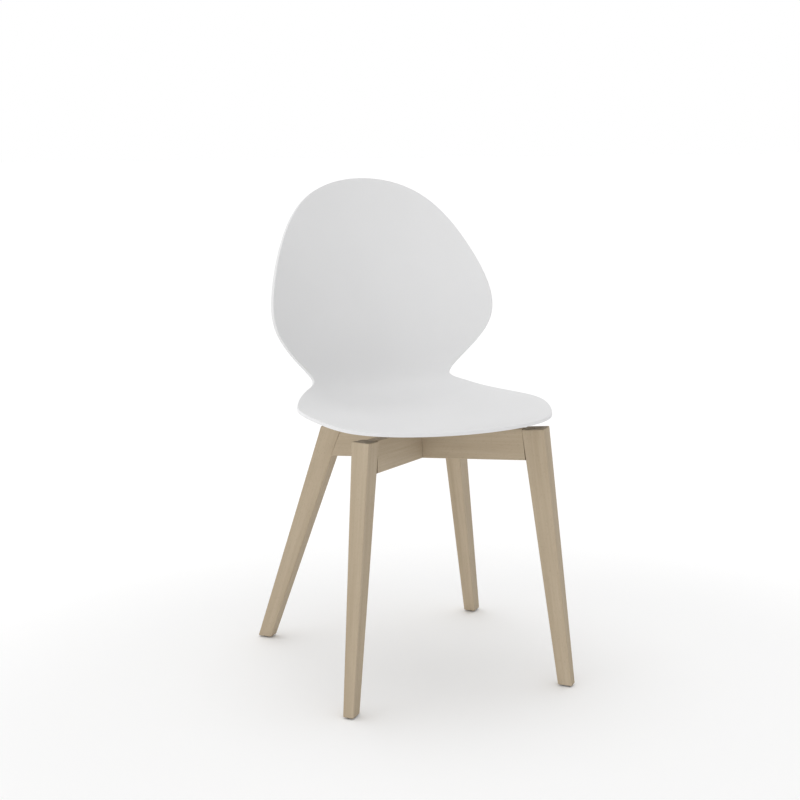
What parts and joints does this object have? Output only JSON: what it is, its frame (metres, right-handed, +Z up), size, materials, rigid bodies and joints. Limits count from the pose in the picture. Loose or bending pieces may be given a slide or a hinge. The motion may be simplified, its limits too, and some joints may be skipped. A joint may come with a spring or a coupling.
{
  "type": "dining chair",
  "caption": "Side chair: a waisted one-piece moulded plastic shell, seat and leaf-shaped back in one, on a crossed wooden frame with tapered splayed legs.",
  "frame": {"origin": "on the floor, under the middle of the chair's overall box", "axes": "+Z up; the sitter faces -Y, so the back is on the +Y side; X across the seat, and names call the -X side left"},
  "size_m": [0.4544, 0.5097, 0.8514],
  "materials": {
    "shell_plastic": "fine matte moulded polypropylene",
    "frame_wood": "bleached beech, matt lacquer",
    "dowel_wood": "unfinished beech",
    "glide_nylon": "satin moulded nylon",
    "pad_rubber": "matt",
    "insert_brass": "turned",
    "fixing_steel": "bright zinc plate"
  },
  "bodies": {
    "root": {"seat_shell": "shell_plastic", "cross_rail_lower": "frame_wood", "cross_rail_upper": "frame_wood", "leg_front_left": "frame_wood", "leg_front_right": "frame_wood", "leg_rear_left": "frame_wood", "leg_rear_right": "frame_wood", "dowel_front_left_lower": "dowel_wood", "dowel_front_left_upper": "dowel_wood", "dowel_front_right_lower": "dowel_wood", "dowel_front_right_upper": "dowel_wood", "dowel_rear_left_lower": "dowel_wood", "dowel_rear_left_upper": "dowel_wood", "dowel_rear_right_lower": "dowel_wood", "dowel_rear_right_upper": "dowel_wood", "glide_front_left": "glide_nylon", "shell_pad_front_left": "pad_rubber", "threaded_insert_front_left": "insert_brass", "shell_screw_front_left": "fixing_steel", "washer_front_left": "fixing_steel", "glide_front_right": "glide_nylon", "shell_pad_front_right": "pad_rubber", "threaded_insert_front_right": "insert_brass", "shell_screw_front_right": "fixing_steel", "washer_front_right": "fixing_steel", "glide_rear_left": "glide_nylon", "shell_pad_rear_left": "pad_rubber", "threaded_insert_rear_left": "insert_brass", "shell_screw_rear_left": "fixing_steel", "washer_rear_left": "fixing_steel", "glide_rear_right": "glide_nylon", "shell_pad_rear_right": "pad_rubber", "threaded_insert_rear_right": "insert_brass", "shell_screw_rear_right": "fixing_steel", "washer_rear_right": "fixing_steel"}
  },
  "joints": []
}
